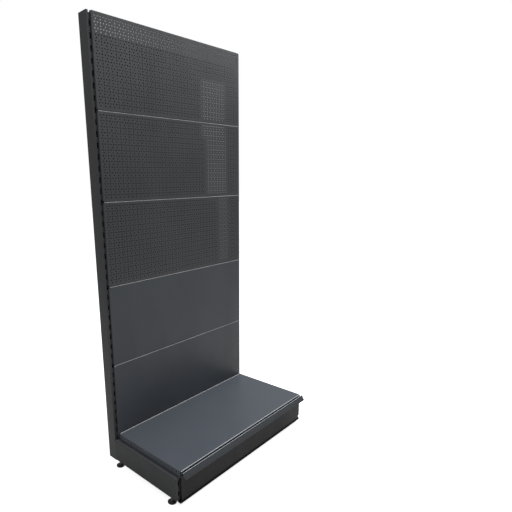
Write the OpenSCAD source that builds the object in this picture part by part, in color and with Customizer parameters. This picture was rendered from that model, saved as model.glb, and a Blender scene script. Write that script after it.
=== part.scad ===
// Gondola shelving unit: a 1 m starter bay with two slotted uprights, a back of hook-in sheet panels,
// a base shelf with a price channel, and a plinth, standing on four levelling feet.
// Millimetres, +Z up, the front faces -Y. The origin is on the floor, in the middle of the bay's outline.

/* [Bay] */
// Distance between the centres of the two uprights
bay_pitch = 1000; // [960:5:1040]
// Thickness of the folded steel sheet of the panels
panel_sheet = 0.8; // [0.7:0.1:1]
// Thickness of the folded steel sheet of the feet
foot_sheet = 2; // [1.5:0.5:2.5]

/* [Uprights] */
// Width of an upright tube, seen from the front
upright_w = 30; // [28:1:34]
// Depth of an upright tube, front to back
upright_d = 60; // [50:5:70]
// Wall thickness of an upright tube
upright_wall = 2; // [1.5:0.5:2]
// Height of an upright's lower end above the floor
upright_lift = 32; // [30:1:35]
// Width of a hook slot
slot_w = 8; // [7.8:0.1:8.4]
// Height of a hook slot
slot_h = 25; // [24:1:28]

/* [Back panels] */
// Height of the lowest panel's bottom edge above the floor, on the slot pitch
back_bottom = 150; // [150:50:200]
// Height that each panel takes up, on the slot pitch
panel_pitch = 400; // [300:50:400]
// How far the panels' faces stand in front of the uprights
panel_proud = 10; // [9:1:12]
// Gap between the panels of two neighbouring bays
panel_gap = 6; // [5.8:0.1:6.2]
// Depth of the stiffening flanges along a panel's top and bottom
panel_flange = 20; // [16:1:24]
// Diameter of the round peg holes
hole_d = 6; // [4:0.5:7]
// Whether the 1560 peg holes of each perforated panel are cut, or its web is left as a plain envelope
cut_peg_holes = false; // [true, false]

/* [Base] */
// Height of the base shelf's top above the floor
shelf_top = 181; // [180:1:185]
// Distance from the panels' faces to the base shelf's front edge
shelf_reach = 453; // [450:1:456]
// Height of the base feet's tops above the floor
foot_top = 145; // [144:1:146]
// Height of the base feet's lower edges above the floor
foot_bottom = 35; // [34:1:36]
// Distance from the panels' faces to the base feet's front ends
foot_reach = 440; // [438:1:441]
// Distance from the panels' faces to the plinth's face
plinth_reach = 449; // [448:1:450]
// Height of the black seal's lower edge above the floor
seal_bottom = 18.6; // [16:0.1:19]
// Distance from the panels' faces to the price channel's lower front edge
price_reach = 484; // [480:1:488]

/* [Levelling feet] */
// Diameter of a levelling foot's pad
pad_d = 42; // [30:1:44]
// Diameter of a levelling foot's threaded stem
stem_d = 8; // [8:0.5:10]

/* [Hidden] */

// Overall places
slot_pitch = 50;                                    // hooks can move in steps of this height
panel_count = 5;
total_h = back_bottom + panel_count * panel_pitch;  // 2150
half_pitch = bay_pitch / 2;
total_d = price_reach + panel_proud + upright_d;
y_panel = -total_d / 2 + price_reach;               // face of the back panels
y_upright = y_panel + panel_proud;                  // front face of the uprights
panel_w = bay_pitch - panel_gap;
bend_steps = 4;                                     // flats in each folded corner
hook_clear = 0.2;                                   // play of a hook in its slot
cut = 1;                                            // how far a cut runs past the faces it goes through

// Levelling feet
y_leveller_front = y_panel - 395;
y_leveller_rear = y_panel - 4;
pad_h = 10;
pad_floor = 3;                                      // thickness of the pad under the stem
stem_top = 75;
stem_play = 0.05;                                   // radial play of the stem in its nut
nut_z = foot_bottom + 6;

// Colours
coat = "#3b3e42";
coat_light = "#4b5056";
black = "#17181a";
zinc = "#9a9c9e";
label_grey = "#5a5f65";

// ---- bent sheet: a folded strip of even thickness along a path of corner points ----
function unit(v) = v / norm(v);
function left_of(v) = [-v[1], v[0]];
function turned(v, a) = [v[0] * cos(a) - v[1] * sin(a), v[0] * sin(a) + v[1] * cos(a)];
function turn_angle(a, b) = atan2(a[0] * b[1] - a[1] * b[0], a * b);
function reversed(list) = [for (i = [len(list) - 1:-1:0]) list[i]];

// One folded corner at p, from direction a to direction b, at the distance offset left of the middle line
function corner_points(p, a, b, radius, offset) =
    let (
        turn = turn_angle(a, b),
        side = sign(turn),
        centre = p - a * radius * tan(abs(turn) / 2) + left_of(a) * side * radius,
        spoke = -side * left_of(a) * (radius - side * offset)
    )
    [for (step = [0:bend_steps]) centre + turned(spoke, turn * step / bend_steps)];

// One side of the strip, at the distance offset left of its middle line
function side_points(path, radius, offset) =
    let (last = len(path) - 1, run = [for (i = [0:last - 1]) unit(path[i + 1] - path[i])])
    concat(
        [path[0] + left_of(run[0]) * offset],
        [for (i = [1:1:last - 1]) each corner_points(path[i], run[i - 1], run[i], radius, offset)],
        [path[last] + left_of(run[last - 1]) * offset]
    );

module bent_sheet(path, sheet, radius) {
    polygon(concat(
        side_points(path, radius, sheet / 2),
        reversed(side_points(path, radius, -sheet / 2))
    ));
}

// A section drawn in [y, z], drawn out from x0 to x1
module along_x(x0, x1) {
    translate([x0, 0, 0]) rotate([90, 0, 90]) linear_extrude(x1 - x0) children();
}

// A section drawn in [x, z], drawn out from y0 to y1
module along_y(y0, y1) {
    translate([0, y1, 0]) rotate([90, 0, 0]) linear_extrude(y1 - y0) children();
}

// A section drawn in [x, y], drawn out from z0 to z1
module along_z(z0, z1) {
    translate([0, 0, z0]) linear_extrude(z1 - z0) children();
}

module box(low, high) {
    translate(low) cube(high - low);
}

// The same thing on the left and, mirrored, on the right
module on_side(side) {
    if (side < 0) {
        children();
    } else {
        mirror([1, 0, 0]) children();
    }
}

// A hook that points in the +Y direction: a neck through the slot centred at z and a drop behind the wall.
// It starts the length of its tail in front of the wall's face.
module hook(x0, x1, y_face, wall, z, tail) {
    neck_h = 12;
    drop = 8;
    hook_t = 4;
    z_neck = z - slot_h / 2 + hook_clear / 2;
    y_back = y_face + wall + hook_clear;
    along_x(x0, x1) polygon([
        [y_face - tail, z_neck],
        [y_back, z_neck],
        [y_back, z_neck - drop],
        [y_back + hook_t, z_neck - drop],
        [y_back + hook_t, z_neck + neck_h],
        [y_face - tail, z_neck + neck_h]
    ]);
}

// ---- uprights: closed rectangular tubes with one column of slots in the front and the rear face ----
function corner_arc(cx, cy, r, from) =
    [for (step = [0:bend_steps]) [cx, cy] + turned([r, 0], from + 90 * step / bend_steps)];

function rounded_rectangle(w, d, r) = concat(
    corner_arc(w / 2 - r, d / 2 - r, r, 0),
    corner_arc(r - w / 2, d / 2 - r, r, 90),
    corner_arc(r - w / 2, r - d / 2, r, 180),
    corner_arc(w / 2 - r, r - d / 2, r, 270)
);

module tube_section(w, d, wall, r) {
    outer = rounded_rectangle(w, d, r);
    inner = rounded_rectangle(w - 2 * wall, d - 2 * wall, r - wall / 2);
    polygon(
        concat(outer, inner),
        [[for (i = [0:len(outer) - 1]) i], [for (i = [0:len(inner) - 1]) len(outer) + i]]
    );
}

module upright(side) {
    corner_r = 2.5;
    slot_count = floor(total_h / slot_pitch);       // the topmost slot is cut open by the tube's end
    color(coat) translate([side * half_pitch, 0, 0]) difference() {
        translate([0, y_upright + upright_d / 2, 0]) along_z(upright_lift, total_h)
            tube_section(upright_w, upright_d, upright_wall, corner_r);
        for (y_wall = [y_upright, y_upright + upright_d - upright_wall])
            for (i = [1:slot_count])
                translate([-slot_w / 2, y_wall - cut, i * slot_pitch - slot_h / 2])
                    cube([slot_w, upright_wall + 2 * cut, slot_h]);
    }
}

// ---- back panels: folded trays whose side flanges end in hooks ----
panel_bend = 2.6;                                   // middle-line radius of the folds
panel_play = 0.5;                                   // gap between stacked panels
panel_lip = 8;                                      // lip that closes a top or bottom flange
edge_web = 8;                                       // flat left beside a top or bottom fold
x_web = panel_w / 2 - 2 * panel_bend;               // half width of the flat web between the side folds
hole_row_pitch = 12.5;
first_hole_row = 17.5;                              // from a panel's top or bottom edge to the first row
hole_rows = floor((panel_pitch - 2 * first_hole_row) / hole_row_pitch) + 1;
rows_per_band = 3;

// The top fold of a panel in [y, z], from its outer corner back over the depth, with or without a lip
module panel_fold_section(depth, lip) {
    half = panel_sheet / 2;
    rear = lip > 0 ? [[depth - half, -half - lip]] : [];
    path = concat(rear, [[depth - half, -half], [half, -half], [half, -edge_web]]);
    bent_sheet(path, panel_sheet, panel_bend);
}

module panel_fold(z_edge, up) {
    upright_play = 3;
    x_deep = half_pitch - upright_w / 2 - upright_play;  // the deep flange fits between the uprights
    translate([0, y_panel, z_edge]) mirror([0, 0, up ? 0 : 1]) {
        along_x(-x_deep, x_deep) panel_fold_section(panel_flange, panel_lip);
        along_x(-x_web, x_web) panel_fold_section(panel_proud - hook_clear, 0);
    }
}

// The height of the slot nearest to z
function slot_near(z) = round(z / slot_pitch) * slot_pitch;

// The left side flange with its two hooks
module panel_side(z0, z1) {
    x_edge = -panel_w / 2;
    half = panel_sheet / 2;
    hook_tail = 3;
    along_z(z0 + 2 * panel_bend, z1 - 2 * panel_bend) bent_sheet(
        [
            [x_edge + half, y_upright - hook_clear],
            [x_edge + half, y_panel + half],
            [x_edge + 3 * panel_bend, y_panel + half]
        ],
        panel_sheet, panel_bend
    );
    for (z = [slot_near(z0) + slot_pitch, slot_near(z1) - slot_pitch])
        hook(x_edge, x_edge + panel_sheet, y_upright, upright_wall, z, hook_tail);
}

// Holes in rows that take turns between a close and a wide spacing
function hole_spacing(row) = row % 2 == 0 ? 15 : 25;
function hole_margin(row) = row % 2 == 0 ? 20 : 25;  // from the bay's edges to the first and last hole
function hole_gaps(row) = floor((bay_pitch - 2 * hole_margin(row)) / hole_spacing(row) + 0.01);

module hole_row(row) {
    first = -hole_gaps(row) * hole_spacing(row) / 2;
    for (i = [0:hole_gaps(row)])
        translate([first + i * hole_spacing(row), 0]) circle(d = hole_d, $fn = 24);
}

// The flat web between the folds, in bands of a few rows of holes
module perforated_web(z0, z1) {
    bands = ceil(hole_rows / rows_per_band);
    z_cut = z1 - first_hole_row + hole_row_pitch / 2;
    for (band = [0:bands - 1]) {
        first = band * rows_per_band;
        last = min(first + rows_per_band, hole_rows) - 1;
        z_top = band == 0 ? z1 - edge_web : z_cut - first * hole_row_pitch;
        z_low = band == bands - 1 ? z0 + edge_web : z_cut - (last + 1) * hole_row_pitch;
        along_y(y_panel, y_panel + panel_sheet) difference() {
            translate([-x_web, z_low]) square([2 * x_web, z_top - z_low]);
            for (row = [first:last])
                translate([0, z1 - first_hole_row - row * hole_row_pitch]) hole_row(row);
        }
    }
}

module plain_web(z0, z1) {
    box([-x_web, y_panel, z0 + edge_web], [x_web, y_panel + panel_sheet, z1 - edge_web]);
}

// place counts the panels from the lowest, 0, upwards
module back_panel(place, perforated) {
    z0 = back_bottom + place * panel_pitch;
    z1 = z0 + panel_pitch - panel_play;
    color(coat) union() {
        panel_fold(z1, true);
        panel_fold(z0, false);
        panel_side(z0, z1);
        mirror([1, 0, 0]) panel_side(z0, z1);
        if (perforated && cut_peg_holes) {
            perforated_web(z0, z1);
        } else {
            plain_web(z0, z1);
        }
    }
}

// ---- base feet: folded boxes, open below, hooked into the two lowest slots of each upright ----
foot_front_slots = [117, 67];                       // heights of the slots that take the plinth's hooks
foot_rear_slots = [2 * slot_pitch, slot_pitch];

foot_bend = 3;
foot_x_mid = upright_w / 2 - foot_sheet / 2;
foot_z_mid = foot_top - foot_sheet / 2;
foot_path = [
    [-foot_x_mid, foot_bottom], [-foot_x_mid, foot_z_mid], [foot_x_mid, foot_z_mid], [foot_x_mid, foot_bottom]
];

// A flat end plate, with the outline of the foot's outer side
module foot_end(y0) {
    along_y(y0, y0 + foot_sheet) polygon(side_points(foot_path, foot_bend, foot_sheet / 2));
}

// The plate that a levelling foot's nut is welded on, between the foot's two sides
module nut_plate(y, y_end) {
    plate_h = 3;
    plate_reach = 20;
    hole_play = 1;
    x = upright_w / 2 - foot_sheet;
    difference() {
        box([-x, y - plate_reach, nut_z - plate_h], [x, min(y + plate_reach, y_end), nut_z]);
        translate([0, y, nut_z - plate_h - cut])
            cylinder(r = stem_d / 2 + hole_play, h = plate_h + 2 * cut, $fn = 48);
    }
}

module base_foot(side) {
    y_front = y_panel - foot_reach;
    y_end = y_upright - hook_clear - foot_sheet;    // where the rear end plate starts
    hook_half = 1.5;
    hook_tail = 1;
    color(coat) translate([side * half_pitch, 0, 0]) union() {
        difference() {
            union() {
                along_y(y_front + foot_sheet, y_end) bent_sheet(foot_path, foot_sheet, foot_bend);
                foot_end(y_front);
                foot_end(y_end);
            }
            for (z = foot_front_slots)
                translate([-slot_w / 2, y_front - cut, z - slot_h / 2])
                    cube([slot_w, foot_sheet + 2 * cut, slot_h]);
        }
        nut_plate(y_leveller_front, y_end);
        nut_plate(y_leveller_rear, y_end);
        for (z = foot_rear_slots) hook(-hook_half, hook_half, y_upright, upright_wall, z, hook_tail);
    }
}

// ---- base shelf: a folded deck that rests on the feet, with small slots along its side flanges ----
shelf_sheet = 1;
shelf_bend = 2.2;
shelf_w = bay_pitch - panel_gap;
shelf_gap = 5;                                      // between the deck's rear edge and the panel
shelf_rest = 0.2;                                   // play between the side flanges and the feet
y_shelf_front = y_panel - shelf_reach;
y_shelf_rear = y_panel - shelf_gap;
y_stiffener_front = y_panel - 320;
y_stiffener_rear = y_panel - 140;

// The deck with its rear flange and its front flange, which returns under the deck, in [y, z]
module shelf_deck_section() {
    rear_flange = 30;
    front_flange = 34;
    front_return = 12;
    z_mid = shelf_top - shelf_sheet / 2;
    y_front = y_shelf_front + shelf_sheet / 2;
    y_rear = y_shelf_rear - shelf_sheet / 2;
    bent_sheet(
        [
            [y_rear, shelf_top - rear_flange], [y_rear, z_mid], [y_front, z_mid],
            [y_front, shelf_top - front_flange], [y_front + front_return, shelf_top - front_flange]
        ],
        shelf_sheet, shelf_bend
    );
}

// The left side flange, which stands on the foot, in [x, z]
module shelf_side_section() {
    x_mid = (shelf_sheet - shelf_w) / 2;
    z_mid = shelf_top - shelf_sheet / 2;
    bent_sheet(
        [[x_mid, foot_top + shelf_rest], [x_mid, z_mid], [x_mid + 4 * shelf_bend, z_mid]],
        shelf_sheet, shelf_bend
    );
}

module base_shelf() {
    slot = 6;
    slot_spacing = 25;
    first_slot = 25;                                // from the deck's rear edge
    slot_below = 7;                                 // from the deck's top to the slots' upper edges
    x_fold = shelf_w / 2 - 2 * shelf_bend;
    slot_gaps = floor((shelf_reach - first_slot - 15) / slot_spacing);
    color(coat_light) difference() {
        union() {
            along_x(-x_fold, x_fold) shelf_deck_section();
            for (turn = [0, 1]) mirror([turn, 0, 0])
                along_y(y_shelf_front + 2 * shelf_bend, y_shelf_rear - 2 * shelf_bend) shelf_side_section();
        }
        for (side = [-1, 1])
            for (i = [0:slot_gaps])
                translate([
                    (side * shelf_w - slot) / 2,
                    y_shelf_rear - first_slot - i * slot_spacing,
                    shelf_top - slot_below - slot
                ]) cube(slot);
    }
}

// Hat-section stiffener under the deck, welded along its two brims
module shelf_stiffener(y) {
    sheet = 1;
    bend = 1.6;
    half = 25;
    brim = 12;
    slant = 4;
    depth = 22;
    end_gap = 12;
    z_top = shelf_top - shelf_sheet - sheet / 2;
    color(coat) along_x(-shelf_w / 2 + end_gap, shelf_w / 2 - end_gap) bent_sheet(
        [
            [y - half - brim, z_top], [y - half, z_top], [y - half + slant, z_top - depth],
            [y + half - slant, z_top - depth], [y + half, z_top], [y + half + brim, z_top]
        ],
        sheet, bend
    );
}

// ---- price channel: an open channel along the shelf's front whose sloping face takes a label strip ----
price_sheet = 1.2;
price_bend = 0.8;
price_face_back = 14;                               // how far the face leans back over its height
price_face_h = 27;
price_groove = 0.7;                                 // between the face and the two lips
y_price_foot = y_panel - price_reach + 2.8;         // foot of the sloping face, middle line
z_price_foot = shelf_top - price_face_h;
price_foot = [y_price_foot, z_price_foot];
price_top = [y_price_foot + price_face_back, shelf_top - price_sheet / 2];
price_up = unit(price_top - price_foot);            // up along the face
price_out = left_of(price_up);                      // square to the face, towards the front
price_lip = price_out * (price_sheet + price_groove);

module price_channel() {
    top_gap = 4;                                    // from the deck's top down to the rear wall's upper edge
    shelf_play = 0.3;
    lower_lip = 5;
    upper_lip = 3.5;
    face_start = 0.2;
    y_back = y_shelf_front - shelf_play - price_sheet / 2;
    lip_foot = [y_price_foot + price_lip[0] - price_lip[1] * price_up[0] / price_up[1], z_price_foot];
    color(coat_light) along_x(-shelf_w / 2, shelf_w / 2) union() {
        bent_sheet(
            [
                [y_back, shelf_top - top_gap], [y_back, z_price_foot],
                lip_foot, lip_foot + price_up * lower_lip
            ],
            price_sheet, price_bend
        );
        bent_sheet(
            [
                price_foot + price_up * face_start, price_top,
                price_top + price_lip, price_top + price_lip - price_up * upper_lip
            ],
            price_sheet, price_bend
        );
    }
}

// A thin strip that slides along the groove, held behind the two lips
module price_label_strip() {
    strip_t = 0.4;
    end_gap = 12;
    low_gap = 2;                                    // clear of the lower fold
    high_gap = 1.2;                                 // clear of the upper fold
    back = price_out * (price_sheet / 2 + (price_groove - strip_t) / 2);
    low = price_foot + back + price_up * low_gap;
    high = price_top + back - price_up * high_gap;
    color(label_grey) along_x(-shelf_w / 2 + end_gap, shelf_w / 2 - end_gap)
        polygon([low, high, high + price_out * strip_t, low + price_out * strip_t]);
}

// ---- plinth: a folded kick plate that hangs on the feet by two end brackets ----
plinth_sheet = 1;
plinth_end = 10;                                    // from the upright's centre to the plinth's end
seal_h = 11;                                        // height of the seal below the plinth
plinth_low = seal_bottom + seal_h;
plinth_high = foot_top - 6;
y_plinth = y_panel - plinth_reach;

module plinth() {
    bend = 1.6;
    low_return = 18;
    high_return = 7;
    y_mid = y_plinth + plinth_sheet / 2;
    z_low = plinth_low + plinth_sheet / 2;
    z_high = plinth_high - plinth_sheet / 2;
    color(coat) along_x(-half_pitch + plinth_end, half_pitch - plinth_end) bent_sheet(
        [[y_mid + low_return, z_low], [y_mid, z_low], [y_mid, z_high], [y_mid + high_return, z_high]],
        plinth_sheet, bend
    );
}

// A stepped strap: its inner part is welded behind the plinth, its outer part lies in front of the foot.
// Places across are counted from the upright's centre.
module plinth_bracket(side) {
    sheet = 1.2;
    bend = 0.8;
    z_low = 50;
    z_high = 132;
    weld_end = 45;
    step_inner = 16;
    step_outer = 12;
    hook_edge = 2;
    hook_tail = 1;
    y_weld = y_plinth + plinth_sheet + sheet / 2;
    y_foot = y_panel - foot_reach;
    y_strap = y_foot - 0.9;
    color(coat) on_side(side) translate([-half_pitch, 0, 0]) union() {
        along_z(z_low, z_high) bent_sheet(
            [[weld_end, y_weld], [step_inner, y_weld], [step_outer, y_strap], [hook_edge, y_strap]],
            sheet, bend
        );
        for (z = foot_front_slots) hook(hook_edge, hook_edge + sheet, y_foot, foot_sheet, z, hook_tail);
    }
}

module plinth_seal() {
    wall = 1.5;
    depth = 20;
    overlap = 8;                                    // how far the seal runs past the plinth's ends
    proud = 1;                                      // the seal stands in front of the plinth by this
    play = 0.1;
    y_out = y_plinth - proud;
    z_top = plinth_low - play;
    color(black) along_x(-half_pitch + plinth_end - overlap, half_pitch - plinth_end + overlap) polygon(
        [
            [y_out, seal_bottom], [y_out + depth, seal_bottom], [y_out + depth, z_top], [y_out, z_top],
            [y_out + wall, seal_bottom + wall], [y_out + depth - wall, seal_bottom + wall],
            [y_out + depth - wall, z_top - wall], [y_out + wall, z_top - wall]
        ],
        [[0, 1, 2, 3], [4, 5, 6, 7]]
    );
}

// ---- levelling feet: a black pad, a threaded stem with a hexagon, and a nut welded in the foot ----
module leveller_pad(side, y) {
    r = pad_d / 2;
    neck_r = 10;
    socket = stem_d / 2 + stem_play;
    color(black) translate([side * half_pitch, y, 0]) rotate_extrude($fn = 64) polygon([
        [0, 0], [r - 1, 0], [r, 1], [r, 4], [r - 1.5, 5.5], [r - 7, 7], [neck_r, pad_h], [socket, pad_h],
        [socket, pad_floor], [0, pad_floor]
    ]);
}

module leveller_stem(side, y) {
    hex_h = 6;
    hex_d = 15;
    z_low = pad_floor + 2 * stem_play;
    z_hex = pad_h + 0.3;
    color(zinc) translate([side * half_pitch, y, 0]) union() {
        translate([0, 0, z_low]) cylinder(d = stem_d, h = stem_top - z_low, $fn = 48);
        translate([0, 0, z_hex]) cylinder(d = hex_d, h = hex_h, $fn = 6);
    }
}

module leveller_nuts() {
    nut_h = 6.5;
    nut_d = 15;
    weld_gap = 0.05;
    color(zinc) for (side = [-1, 1])
        for (y = [y_leveller_front, y_leveller_rear])
            translate([side * half_pitch, y, nut_z + weld_gap]) difference() {
                cylinder(d = nut_d, h = nut_h, $fn = 6);
                translate([0, 0, -cut]) cylinder(r = stem_d / 2 + stem_play, h = nut_h + 2 * cut, $fn = 48);
            }
}

upright(-1);  // upright_left
upright(1);  // upright_right
back_panel(4, true);  // perforated_panel_top
back_panel(3, true);  // perforated_panel_middle
back_panel(2, true);  // perforated_panel_lower
back_panel(1, false);  // plain_panel_upper
back_panel(0, false);  // plain_panel_lower
base_foot(-1);  // base_foot_left
base_foot(1);  // base_foot_right
base_shelf();
shelf_stiffener(y_stiffener_front);  // shelf_stiffener_front
shelf_stiffener(y_stiffener_rear);  // shelf_stiffener_rear
price_channel();
price_label_strip();
plinth();
plinth_bracket(-1);  // plinth_bracket_left
plinth_bracket(1);  // plinth_bracket_right
plinth_seal();
leveller_pad(-1, y_leveller_front);  // leveller_pad_front_left
leveller_pad(1, y_leveller_front);  // leveller_pad_front_right
leveller_pad(-1, y_leveller_rear);  // leveller_pad_rear_left
leveller_pad(1, y_leveller_rear);  // leveller_pad_rear_right
leveller_stem(-1, y_leveller_front);  // leveller_stem_front_left
leveller_stem(1, y_leveller_front);  // leveller_stem_front_right
leveller_stem(-1, y_leveller_rear);  // leveller_stem_rear_left
leveller_stem(1, y_leveller_rear);  // leveller_stem_rear_right
leveller_nuts();
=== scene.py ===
"""Looks for the gondola shelving unit: powder-coated sheet steel in a plain pale studio."""

import math

import bmesh
import bpy
from mathutils import Matrix, Vector
from mathutils.geometry import delaunay_2d_cdt


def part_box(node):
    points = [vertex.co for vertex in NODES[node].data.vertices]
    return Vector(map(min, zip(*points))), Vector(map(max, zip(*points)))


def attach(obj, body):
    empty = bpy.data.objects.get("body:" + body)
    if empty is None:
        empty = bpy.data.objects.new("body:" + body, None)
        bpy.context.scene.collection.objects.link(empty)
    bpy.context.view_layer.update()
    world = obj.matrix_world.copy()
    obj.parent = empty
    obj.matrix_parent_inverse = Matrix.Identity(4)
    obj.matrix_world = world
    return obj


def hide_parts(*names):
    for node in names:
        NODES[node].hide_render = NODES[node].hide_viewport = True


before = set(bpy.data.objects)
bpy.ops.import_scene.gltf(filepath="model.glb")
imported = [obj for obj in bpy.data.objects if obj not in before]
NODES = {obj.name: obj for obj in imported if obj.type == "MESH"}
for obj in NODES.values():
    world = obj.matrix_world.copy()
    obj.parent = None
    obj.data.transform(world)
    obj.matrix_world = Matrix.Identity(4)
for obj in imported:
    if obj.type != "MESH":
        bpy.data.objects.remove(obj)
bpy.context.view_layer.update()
MM = 0.001

# ---------------------------------------------------------------- camera
CAMERA_AT = Vector((-1.6593, -1.4876, 1.4043))
CAMERA_HEADING = 46.13   # degrees from +X towards +Y
CAMERA_PITCH = -11.95    # degrees above the horizon
CAMERA_ROLL = 1.85       # degrees clockwise
CAMERA_LENS = 30.63      # mm on a 36 mm sensor
CAMERA_SHIFT = (0.1497, 0.0469)


def add_camera():
    heading, pitch, roll = (math.radians(a) for a in (CAMERA_HEADING, CAMERA_PITCH, CAMERA_ROLL))
    level = math.cos(pitch)
    ahead = Vector((level * math.cos(heading), level * math.sin(heading), math.sin(pitch)))
    level_right = ahead.cross(Vector((0, 0, 1))).normalized()
    right = Matrix.Rotation(roll, 3, ahead) @ level_right
    up = right.cross(ahead)
    turn = Matrix((right, up, -ahead)).transposed().to_4x4()
    data = bpy.data.cameras.new("photo_camera")
    data.sensor_width = 36
    data.lens = CAMERA_LENS
    data.shift_x, data.shift_y = CAMERA_SHIFT
    data.clip_start, data.clip_end = 0.05, 60
    camera = bpy.data.objects.new("photo_camera", data)
    camera.matrix_world = Matrix.Translation(CAMERA_AT) @ turn
    bpy.context.scene.collection.objects.link(camera)
    bpy.context.scene.camera = camera


# ---------------------------------------------------------------- node helpers
class Shader:
    """A material whose nodes are added by name, with values and links given together."""

    def __init__(self, name):
        self.material = bpy.data.materials.new(name)
        self.material.use_nodes = True
        self.tree = self.material.node_tree
        self.tree.nodes.clear()
        self.output = self.tree.nodes.new("ShaderNodeOutputMaterial")

    def node(self, kind, **inputs):
        made = self.tree.nodes.new("ShaderNode" + kind)
        for key, value in inputs.items():
            self.feed(made.inputs[key.replace("_", " ")], value)
        return made

    def feed(self, socket, value):
        if isinstance(value, bpy.types.NodeSocket):
            self.tree.links.new(value, socket)
        else:
            socket.default_value = value

    def place(self):
        return self.node("TexCoord").outputs["Object"]

    def at(self, axis):
        """Where a point lies along an axis of the unit."""
        return self.node("SeparateXYZ", Vector=self.place()).outputs[axis]

    def facing(self, axis):
        """How far a face looks along an axis of the unit."""
        return self.node("SeparateXYZ", Vector=self.node("TexCoord").outputs["Normal"]).outputs[axis]

    def noise(self, scale, detail=2.0, stretch=(1, 1, 1)):
        moved = self.node("Mapping", Vector=self.place(), Scale=stretch)
        return self.node("TexNoise", Vector=moved.outputs[0], Scale=scale, Detail=detail).outputs["Fac"]

    def remap(self, value, low, high, to_low=0.0, to_high=1.0):
        made = self.node("MapRange")
        for socket, number in zip(made.inputs, (value, low, high, to_low, to_high)):
            self.feed(socket, number)
        return made.outputs[0]

    def math(self, operation, a, b):
        made = self.tree.nodes.new("ShaderNodeMath")
        made.operation = operation
        self.feed(made.inputs[0], a)
        self.feed(made.inputs[1], b)
        return made.outputs[0]

    def mix(self, factor, a, b):
        made = self.tree.nodes.new("ShaderNodeMix")
        made.data_type = "RGBA"
        self.feed(made.inputs[0], factor)
        self.feed(made.inputs[6], a)
        self.feed(made.inputs[7], b)
        return made.outputs[2]

    def bump(self, height, strength, distance):
        return self.node("Bump", Height=height, Strength=strength, Distance=distance).outputs[0]

    def edges(self, radius):
        """1 on sharp edges, falling to 0 within the radius."""
        bevel = self.tree.nodes.new("ShaderNodeBevel")
        bevel.samples = 4
        bevel.inputs["Radius"].default_value = radius
        true = self.node("NewGeometry").outputs["Normal"]
        dot = self.tree.nodes.new("ShaderNodeVectorMath")
        dot.operation = "DOT_PRODUCT"
        self.tree.links.new(bevel.outputs[0], dot.inputs[0])
        self.tree.links.new(true, dot.inputs[1])
        return self.remap(dot.outputs["Value"], 0.995, 0.80)

    def between(self, value, low, high, soft=15 * MM):
        """1 between two places, with soft ends."""
        return self.math("MULTIPLY", self.remap(value, low - soft, low + soft),
                         self.remap(value, high + soft, high - soft))

    def sideways(self):
        """1 on faces that look to the unit's left or right."""
        return self.remap(self.math("ABSOLUTE", self.facing("X"), 0), 0.6, 0.9)

    def upward(self):
        """1 on faces that look up."""
        return self.remap(self.facing("Z"), 0.6, 0.9)

    def upper_folds(self):
        """1 on the crown of the folds that run across the unit, between a top and an upright face."""
        level = self.math("ABSOLUTE", self.facing("Y"), 0)
        crown = self.math("MULTIPLY", self.math("ADD", level, self.facing("Z")), math.sqrt(0.5))
        return self.remap(crown, 0.75, 0.95)

    def crest(self, top):
        """1 on faces that look up within 3 mm of the given height."""
        level = self.remap(self.at("Z"), top - 3 * MM, top - 2.5 * MM)
        return self.math("MULTIPLY", self.remap(self.facing("Z"), 0.6, 0.85), level)

    def surface(self, **inputs):
        made = self.tree.nodes.new("ShaderNodeBsdfPrincipled")
        for key, value in inputs.items():
            self.feed(made.inputs[key.replace("_", " ")], value)
        self.tree.links.new(made.outputs[0], self.output.inputs["Surface"])
        return self.material


def scaled(colour, factor):
    return (*(min(1.0, c * factor) for c in colour), 1.0)


# ---------------------------------------------------------------- materials
ABOVE_ALL = 3.0            # m, a height that nothing on the unit reaches
# how strongly sharp edges are lightened, partly as edge wear and partly as a painted highlight
EDGE_WEAR_AND_HIGHLIGHT = 0.15


def powder_coat(name, colour, rough=0.42, shine=0.45, crown=8.0, crown_below=ABOVE_ALL, sides=1.0, tops=1.0):
    """Satin polyester powder coat: faint cloudiness, orange peel, dust, edge wear that also serves as a
    painted highlight on sharp edges, and a painted highlight on the upper folds.

    The tone is scaled by crown on upper folds below a height (painted highlight), by sides on faces that look
    to the left or right (painted shade), and by tops on faces that look up (painted light).
    """
    s = Shader(name)
    cloud = s.remap(s.noise(3.5, 4), 0.35, 0.65)
    body = s.mix(cloud, scaled(colour, 0.93), scaled(colour, 1.07))
    # Painted shade on faces that look to the left or right, and painted light on faces that look up, as far
    # as sides and tops ask.
    body = s.mix(s.sideways(), body, scaled(colour, sides))
    body = s.mix(s.upward(), body, scaled(colour, tops))
    dust = s.remap(s.noise(700, 1), 0.66, 0.74, 0, 0.25)
    body = s.mix(dust, body, scaled(colour, 1.6))
    # Sharp edges are lightened: partly edge wear, partly a painted highlight.
    edge_wear_and_highlight = s.math("MULTIPLY", s.edges(0.8 * MM), s.remap(s.noise(30, 3), 0.35, 0.7, 0.2, 1))
    body = s.mix(s.math("MULTIPLY", edge_wear_and_highlight, EDGE_WEAR_AND_HIGHLIGHT), body, scaled(colour, 2.6))
    # Painted highlight in neutral grey on the crown of the upper folds, broken a little by noise, kept below
    # a height.
    fold_highlight = s.math("MULTIPLY", s.upper_folds(), s.remap(s.noise(14, 3), 0.3, 0.7, 0.8, 1))
    fold_highlight = s.math("MULTIPLY", fold_highlight, s.math("LESS_THAN", s.at("Z"), crown_below))
    neutral = (colour[1],) * 3
    body = s.mix(fold_highlight, body, scaled(neutral, crown))
    smear = s.remap(s.noise(9, 3, (1, 1, 0.4)), 0.3, 0.7, rough - 0.05, rough + 0.06)
    peel = s.math("ADD", s.noise(450, 2), s.math("MULTIPLY", s.noise(1500, 1), 0.35))
    return s.surface(Base_Color=body, Roughness=smear, Normal=s.bump(peel, 0.22, 0.15 * MM),
                     IOR=1.5, Specular_IOR_Level=shine)


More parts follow.
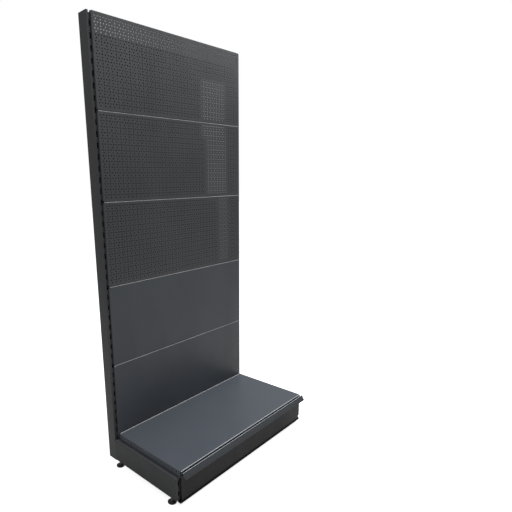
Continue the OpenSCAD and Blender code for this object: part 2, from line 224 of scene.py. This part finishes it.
def rubber_black(name):
    s = Shader(name)
    base = (0.005, 0.005, 0.005)
    dust = s.remap(s.noise(60, 4), 0.5, 0.75, 0, 0.5)
    body = s.mix(dust, scaled(base, 0.8), scaled(base, 2.2))
    ribs = s.noise(900, 2, (0.05, 1, 1))
    return s.surface(Base_Color=body, Roughness=s.remap(s.noise(40, 2), 0.3, 0.7, 0.55, 0.75),
                     Normal=s.bump(ribs, 0.25, 0.1 * MM), IOR=1.5, Specular_IOR_Level=0.12)


def nylon_black(name):
    s = Shader(name)
    base = (0.028, 0.028, 0.030)
    body = s.mix(s.remap(s.noise(90, 3), 0.4, 0.7), scaled(base, 0.8), scaled(base, 1.8))
    return s.surface(Base_Color=body, Roughness=s.remap(s.noise(120, 2), 0.3, 0.7, 0.34, 0.5),
                     Normal=s.bump(s.noise(1200, 2), 0.2, 0.08 * MM), IOR=1.5, Specular_IOR_Level=0.5)


def zinc(name):
    s = Shader(name)
    base = (0.42, 0.42, 0.44)
    bloom = s.remap(s.noise(140, 4), 0.35, 0.7)
    body = s.mix(bloom, scaled(base, 0.8), scaled(base, 1.15))
    return s.surface(Base_Color=body, Metallic=1.0, Roughness=s.remap(s.noise(200, 3), 0.3, 0.7, 0.28, 0.48),
                     Normal=s.bump(s.noise(800, 2), 0.15, 0.05 * MM))


def plastic_grey(name, top, crown=1.0):
    """Extruded plastic with faint lines along it. Its tone is scaled by crown on faces at the top height, as
    a painted highlight.
    """
    s = Shader(name)
    colour = (0.050, 0.055, 0.061)
    lines = s.noise(1000, 1, (0.02, 1, 1))
    body = s.mix(s.remap(s.noise(12, 3), 0.35, 0.65), scaled(colour, 0.94), scaled(colour, 1.06))
    # Painted highlight along the top edge.
    body = s.mix(s.crest(top), body, scaled(colour, crown))
    return s.surface(Base_Color=body, Roughness=s.remap(lines, 0.3, 0.7, 0.45, 0.55),
                     Normal=s.bump(lines, 0.12, 0.05 * MM), IOR=1.5, Specular_IOR_Level=0.3)


def assign(material, *names):
    for name in names:
        mesh = NODES[name].data
        mesh.materials.clear()
        mesh.materials.append(material)


def soften(name):
    """Rounds a sheet part's edges a little, so that they catch the light."""
    bevel = NODES[name].modifiers.new("edge_round", "BEVEL")
    bevel.width = EDGE_ROUND
    bevel.segments = 2
    bevel.limit_method = "ANGLE"
    bevel.angle_limit = math.radians(35)
    bevel.use_clamp_overlap = True


CORNERS = ("front_left", "front_right", "rear_left", "rear_right")
PERFORATED = ("perforated_panel_top", "perforated_panel_middle", "perforated_panel_lower")
SOFTENED = ("upright_left", "upright_right", "base_foot_left", "base_foot_right", "plinth")
EDGE_ROUND = 0.3 * MM
UNHIGHLIGHTED_TOP = 10 * MM       # the uppermost panel's top edge, left without the painted fold highlight


def dress():
    assign(powder_coat("upright_coat", (0.042, 0.043, 0.046)), "upright_left", "upright_right")
    # The panels' painted fold highlight stops just below the top panel's top edge.
    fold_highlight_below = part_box("perforated_panel_top")[1].z - UNHIGHLIGHTED_TOP
    assign(powder_coat("panel_coat", (0.044, 0.047, 0.052), crown_below=fold_highlight_below), *PERFORATED)
    assign(powder_coat("plain_panel_coat", (0.047, 0.053, 0.062)), "plain_panel_upper", "plain_panel_lower")
    # The foot's up-facing faces are lightened by tops as painted light.
    assign(powder_coat("foot_coat", (0.022, 0.023, 0.025), tops=4.5), "base_foot_left", "base_foot_right")
    # The shelf's side flanges are darkened by sides as painted shade, and its upper folds lightened by crown
    # as a painted highlight.
    assign(powder_coat("shelf_coat", (0.090, 0.103, 0.124), rough=0.36, shine=0.3, crown=7, sides=0.6),
           "base_shelf", "shelf_stiffener_front", "shelf_stiffener_rear")
    assign(powder_coat("plinth_coat", (0.016, 0.0155, 0.015), rough=0.5, shine=0.25, crown=1),
           "plinth", "plinth_bracket_left", "plinth_bracket_right")
    channel_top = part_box("price_channel")[1].z
    # The channel's top edge gets a strong painted highlight.
    assign(plastic_grey("channel_grey", channel_top, crown=13), "price_channel")
    assign(plastic_grey("label_grey", channel_top), "price_label_strip")
    assign(rubber_black("seal_rubber"), "plinth_seal")
    assign(nylon_black("pad_nylon"), *("leveller_pad_" + c for c in CORNERS))
    assign(zinc("zinc_plate"), "leveller_nuts", *("leveller_stem_" + c for c in CORNERS))


# ---------------------------------------------------------------- mesh helpers
def add_piece(name, mesh, material):
    data = bpy.data.meshes.new(name)
    mesh.to_mesh(data)
    mesh.free()
    data.materials.append(material)
    piece = bpy.data.objects.new(name, data)
    bpy.context.scene.collection.objects.link(piece)
    return piece


def skin(mesh, rings):
    """Closes a row of rings of vertices into one solid, with a cap at each end."""
    sides = len(rings[0])
    for lower, upper in zip(rings, rings[1:]):
        for i in range(sides):
            j = (i + 1) % sides
            mesh.faces.new((lower[i], lower[j], upper[j], upper[i]))
    mesh.faces.new(reversed(rings[0]))
    mesh.faces.new(rings[-1])
    bmesh.ops.recalc_face_normals(mesh, faces=mesh.faces)


# ---------------------------------------------------------------- perforated panels
HOLE_RADIUS = 3 * MM
HOLE_SIDES = 12
HOLE_ROWS = 30
HOLE_ROW_PITCH = 12.5 * MM
FIRST_HOLE_ROW = 17.5 * MM           # below the panel's top edge
HOLE_SPACINGS = ((15 * MM, 64), (25 * MM, 38))   # close and wide rows take turns: spacing, gaps


def hole_centres(top):
    for row in range(HOLE_ROWS):
        spacing, gaps = HOLE_SPACINGS[row % 2]
        z = top - FIRST_HOLE_ROW - row * HOLE_ROW_PITCH
        for i in range(gaps + 1):
            yield (i - gaps / 2) * spacing, z


def hole_outline(centre):
    turns = (2 * math.pi * (i + 0.5) / HOLE_SIDES for i in range(HOLE_SIDES))
    return [(centre[0] + HOLE_RADIUS * math.cos(a), centre[1] + HOLE_RADIUS * math.sin(a)) for a in turns]


def outline_of(faces):
    """The corner vertices round a flat patch of faces, in order."""
    inside = set(faces)
    ahead = {}
    for face in faces:
        for loop in face.loops:
            if not any(other in inside for other in loop.edge.link_faces if other is not face):
                ahead[loop.vert] = loop.link_loop_next.vert
    start = next(iter(ahead))
    ring = [start]
    while ahead[ring[-1]] is not start:
        ring.append(ahead[ring[-1]])
    return ring


def cut_holes(mesh, faces, holes):
    """Takes a flat patch away and lays it again round the holes. Returns the vertices round each hole."""
    ring = outline_of(faces)
    y = ring[0].co.y
    towards_front = faces[0].normal.y < 0
    material = faces[0].material_index
    bmesh.ops.delete(mesh, geom=faces, context="FACES_ONLY")
    bmesh.ops.delete(mesh, geom=[v for v in mesh.verts if not v.link_faces], context="VERTS")
    rings = [[mesh.verts.new((x, y, z)) for x, z in hole_outline(centre)] for centre in holes]
    points, borders, hole_of = [], [], []
    for number, corners in enumerate([ring, *rings]):
        first = len(points)
        points += corners
        hole_of += [number] * len(corners)
        borders += [(first + i, first + (i + 1) % len(corners)) for i in range(len(corners))]
    flat = [Vector((v.co.x, v.co.z)) for v in points]
    _, _, triangles, sources, _, _ = delaunay_2d_cdt(flat, borders, [], 1, 1e-9, True)
    for triangle in triangles:
        corners = [sources[i][0] for i in triangle]
        numbers = {hole_of[i] for i in corners}
        if len(numbers) == 1 and numbers != {0}:
            continue
        face = mesh.faces.new([points[i] for i in (corners if towards_front else reversed(corners))])
        face.material_index = material
    return rings


def perforated_copy(node):
    """The CAD panel with its peg holes cut through the flat web between its folds."""
    source = NODES[node]
    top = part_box(node)[1].z
    mesh = bmesh.new()
    mesh.from_mesh(source.data)
    bmesh.ops.remove_doubles(mesh, verts=mesh.verts, dist=0.001 * MM)
    bmesh.ops.dissolve_limit(mesh, angle_limit=math.radians(0.05), verts=mesh.verts, edges=mesh.edges)
    mesh.normal_update()
    webs = sorted((f for f in mesh.faces if abs(f.normal.y) > 0.999), key=lambda f: -f.calc_area())[:2]
    webs.sort(key=lambda f: f.normal.y)
    holes = list(hole_centres(top))
    front, back = (cut_holes(mesh, [web], holes) for web in webs)
    for a, b in zip(front, back):
        for i in range(HOLE_SIDES):
            j = (i + 1) % HOLE_SIDES
            mesh.faces.new((a[i], b[i], b[j], a[j]))
    bmesh.ops.recalc_face_normals(mesh, faces=mesh.faces)
    piece = add_piece(node.replace("panel", "sheet"), mesh, source.data.materials[0])
    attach(piece, "frame")
    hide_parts(node)


# ---------------------------------------------------------------- deck edge
BEAD_RADIUS = 2 * MM
BEAD_STEPS = 12
BEAD_INSET = 2 * MM        # from the deck's rear edge
BEAD_LIFT = 0.6 * MM       # of the bead's centre, above the deck
BEAD_END_GAP = 5 * MM      # from the deck's ends


def deck_bead():
    """The rolled bead along the deck's rear edge, coated lighter than the deck as a painted highlight."""
    low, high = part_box("base_shelf")
    centre_y, centre_z = high.y - BEAD_RADIUS - BEAD_INSET, high.z + BEAD_LIFT
    half = high.x - BEAD_END_GAP
    turns = [2 * math.pi * i / BEAD_STEPS for i in range(BEAD_STEPS)]
    ring = [(centre_y + BEAD_RADIUS * math.cos(a), centre_z + BEAD_RADIUS * math.sin(a)) for a in turns]
    mesh = bmesh.new()
    skin(mesh, [[mesh.verts.new((x, y, z)) for y, z in ring] for x in (-half, half)])
    # The bead's coat is a lighter copy of the deck's coat: a painted highlight along the rear edge.
    piece = add_piece("deck_rear_bead", mesh, powder_coat("bead_highlight_coat", (0.15, 0.168, 0.195), crown=4))
    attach(piece, "base_shelf")


# ---------------------------------------------------------------- threaded stems
STEM_SIDES = 24
STEM_RADIUS = 4 * MM
STEM_CHAMFER = 0.8 * MM
THREAD_PITCH = 1.25 * MM
THREAD_DEPTH = 0.65 * MM
RINGS_PER_PITCH = 8
HEX_FROM, HEX_TO = 10.3 * MM, 16.3 * MM      # heights of the hexagon above the floor
HEX_FLAT_RADIUS = 6.5 * MM
HEX_CHAMFER = 0.4 * MM


def circle_at(z, radius):
    return [(radius, z)] * STEM_SIDES


def hexagon_at(z):
    turns = (math.radians((360 * i / STEM_SIDES) % 60 - 30) for i in range(STEM_SIDES))
    return [(HEX_FLAT_RADIUS / math.cos(a), z) for a in turns]


def thread_at(z):
    """One level ring across a right-hand thread, whose crest runs round the stem as it climbs."""
    ring = []
    for i in range(STEM_SIDES):
        phase = 2 * math.pi * (z / THREAD_PITCH - i / STEM_SIDES)
        crest = min(1, max(0, 0.5 + 0.75 * math.cos(phase)))
        ring.append((STEM_RADIUS - THREAD_DEPTH * (1 - crest), z))
    return ring


def threaded_stem(corner):
    """The levelling stem with its thread and a chamfered hexagon, as one closed skin of rings."""
    node = "leveller_stem_" + corner
    low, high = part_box(node)
    inner = HEX_FLAT_RADIUS - HEX_CHAMFER
    root = STEM_RADIUS - THREAD_DEPTH
    rings = [circle_at(low.z, STEM_RADIUS - STEM_CHAMFER), circle_at(low.z + STEM_CHAMFER, STEM_RADIUS),
             circle_at(HEX_FROM, STEM_RADIUS), circle_at(HEX_FROM, inner), hexagon_at(HEX_FROM + HEX_CHAMFER),
             hexagon_at(HEX_TO - HEX_CHAMFER), circle_at(HEX_TO, inner), circle_at(HEX_TO, root)]
    step = THREAD_PITCH / RINGS_PER_PITCH
    count = int((high.z - STEM_CHAMFER - HEX_TO) / step)
    rings += [thread_at(HEX_TO + step * (i + 1)) for i in range(count)]
    rings.append(circle_at(high.z, STEM_RADIUS - STEM_CHAMFER))
    centre_x, centre_y = (low.x + high.x) / 2, (low.y + high.y) / 2
    turns = [2 * math.pi * i / STEM_SIDES for i in range(STEM_SIDES)]
    mesh = bmesh.new()
    skin(mesh, [[mesh.verts.new((centre_x + radius * math.cos(a), centre_y + radius * math.sin(a), z))
                 for (radius, z), a in zip(ring, turns)] for ring in rings])
    piece = add_piece("threaded_stem_" + corner, mesh, NODES[node].data.materials[0])
    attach(piece, "stem_" + corner)
    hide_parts(node)


# ---------------------------------------------------------------- studio
WORLD_FILL = 0.37
FLOOR_GLOW = 0.85
LIGHT_SIZE = 2.4
OVERHEAD_POWER, RIGHT_POWER = 59, 102

# How far the painted shade under the unit reaches past the deck's box, to the middle of its soft edge
SHADE_PAST_SIDES = -22 * MM
SHADE_PAST_REAR = 35 * MM
SHADE_PAST_FRONT = -30 * MM
SHADE_SOFT = 15 * MM
SHADE_COLOUR = (0.30, 0.30, 0.30, 1)

# The cards reach from upright to upright. Heights on the backdrop card are from its middle.
CARD_HALF_WIDTH = 0.482
CARD_BEHIND = 22 * MM      # the panels' front faces
CARD_BELOW = 60 * MM       # the perforated panels
ROOM_COLOUR = (1, 0.94, 0.88, 1)
STRIP_FROM = 0.552
STRIP_SOFT = 3 * MM
STRIP_LEFT, STRIP_RIGHT = 0.38, 0.03     # strength at the bay's left and right end
# Lit places further back in the room: left, right, low, high, strength
LIGHT_PATCHES = (
    (0.20, 0.40, 0.15, 0.46, 0.28),
    (0.23, 0.41, -0.18, 0.19, 0.24),
    (0.33, 0.42, -0.56, -0.14, 0.18),
)
BASE_SHADE = 0.002         # strength of the card across the open back of the base


def add_plane(name, size, at, material):
    mesh = bpy.data.meshes.new(name)
    half_x, half_y = size[0] / 2, size[1] / 2
    mesh.from_pydata([(-half_x, -half_y, 0), (half_x, -half_y, 0), (half_x, half_y, 0), (-half_x, half_y, 0)],
                     [], [(0, 1, 2, 3)])
    mesh.materials.append(material)
    plane = bpy.data.objects.new(name, mesh)
    plane.location = at
    bpy.context.scene.collection.objects.link(plane)
    return plane


def add_light(name, at, aim, power):
    data = bpy.data.lights.new(name, "AREA")
    data.shape = "RECTANGLE"
    data.size = data.size_y = LIGHT_SIZE
    data.energy = power
    light = bpy.data.objects.new(name, data)
    ahead = (Vector(aim) - Vector(at)).normalized()
    light.rotation_euler = ahead.to_track_quat("-Z", "Y").to_euler()
    light.location = at
    bpy.context.scene.collection.objects.link(light)


def floor_paint():
    """Pale matt floor with a painted shade under the unit. The glow around it is for the eye only."""
    s = Shader("studio_floor")
    body = s.mix(s.remap(s.noise(1.2, 3), 0.3, 0.7), (0.80, 0.80, 0.80, 1), (0.84, 0.84, 0.84, 1))
    low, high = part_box("base_shelf")
    beside = s.math("SUBTRACT", s.math("ABSOLUTE", s.at("X"), 0), high.x + SHADE_PAST_SIDES)
    behind = s.math("SUBTRACT", s.at("Y"), high.y + SHADE_PAST_REAR)
    before = s.math("SUBTRACT", low.y - SHADE_PAST_FRONT, s.at("Y"))
    outside = s.math("MAXIMUM", beside, s.math("MAXIMUM", behind, before))
    open_floor = s.remap(outside, -SHADE_SOFT, SHADE_SOFT)
    # Painted shade: under the unit the floor takes the shade colour and loses its glow.
    body = s.mix(open_floor, SHADE_COLOUR, body)
    to_eye = s.node("LightPath").outputs["Is Camera Ray"]
    glow = s.math("MULTIPLY", to_eye, s.math("MULTIPLY", open_floor, FLOOR_GLOW))
    return s.surface(Base_Color=body, Roughness=0.9, Specular_IOR_Level=0.1,
                     Emission_Color=(1, 1, 1, 1), Emission_Strength=glow)


def one_sided(s, colour, strength):
    """Makes the material glow on its front and clear from behind."""
    glow = s.node("Emission", Color=colour, Strength=strength)
    clear = s.node("BsdfTransparent")
    both = s.tree.nodes.new("ShaderNodeMixShader")
    s.feed(both.inputs[0], s.node("NewGeometry").outputs["Backfacing"])
    s.feed(both.inputs[1], glow.outputs[0])
    s.feed(both.inputs[2], clear.outputs[0])
    s.tree.links.new(both.outputs[0], s.output.inputs["Surface"])
    return s.material


def room_seen():
    """What is seen through the peg holes from the front: a dark room with a lighter strip along its top."""
    s = Shader("backdrop")
    x, y = s.at("X"), s.at("Y")
    strip = s.remap(x, -0.5, 0.5, STRIP_LEFT, STRIP_RIGHT)
    above = s.remap(y, STRIP_FROM - STRIP_SOFT, STRIP_FROM + STRIP_SOFT)
    strength = s.math("MULTIPLY", above, strip)
    for left, right, low, high, patch in LIGHT_PATCHES:
        inside = s.math("MULTIPLY", s.between(x, left, right), s.between(y, low, high))
        strength = s.math("MAXIMUM", strength, s.math("MULTIPLY", inside, patch))
    return one_sided(s, ROOM_COLOUR, strength)


def add_card(name, size, at, material):
    """A standing card that faces the front, and that only the camera sees."""
    card = add_plane(name, size, at, material)
    card.rotation_euler = (math.radians(90), 0, 0)
    for kind in ("diffuse", "glossy", "transmission", "shadow", "volume_scatter"):
        setattr(card, "visible_" + kind, False)


def add_backdrop():
    """Cards just behind the perforated panels and across the open back of the base."""
    low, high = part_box("perforated_panel_lower")[0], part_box("perforated_panel_top")[1]
    y, foot = low.y + CARD_BEHIND, low.z - CARD_BELOW
    add_card("backdrop_card", (2 * CARD_HALF_WIDTH, high.z - foot), (0, y, (high.z + foot) / 2), room_seen())
    base_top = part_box("plain_panel_lower")[0].z
    shade = one_sided(Shader("base_shade"), (1, 1, 1, 1), BASE_SHADE)
    add_card("base_card", (2 * CARD_HALF_WIDTH, base_top), (0, y, base_top / 2), shade)


def add_world():
    """White to the eye, and a soft fill on the object."""
    world = bpy.data.worlds.new("studio")
    world.use_nodes = True
    nodes, links = world.node_tree.nodes, world.node_tree.links
    back = nodes["Background"]
    back.inputs["Color"].default_value = (1, 1, 1, 1)
    ray = nodes.new("ShaderNodeLightPath")
    level = nodes.new("ShaderNodeMapRange")
    level.inputs["To Min"].default_value = WORLD_FILL
    level.inputs["To Max"].default_value = 1.0
    links.new(ray.outputs["Is Camera Ray"], level.inputs["Value"])
    links.new(level.outputs[0], back.inputs["Strength"])
    bpy.context.scene.world = world


def add_studio():
    add_plane("studio_floor", (60, 60), (0, 0, 0), floor_paint())
    add_world()
    add_light("overhead", (0, -1.4, 4.2), (0, 0, 0.9), OVERHEAD_POWER)
    add_light("right", (2.8, -0.2, 3.9), (0, 0, 0.8), RIGHT_POWER)
    view = bpy.context.scene.view_settings
    view.view_transform = "Standard"
    view.look = "None"


add_camera()
dress()
for perforated in PERFORATED:
    perforated_copy(perforated)
deck_bead()
for stem_corner in CORNERS:
    threaded_stem(stem_corner)
for sheet_part in SOFTENED:
    soften(sheet_part)
add_studio()
add_backdrop()
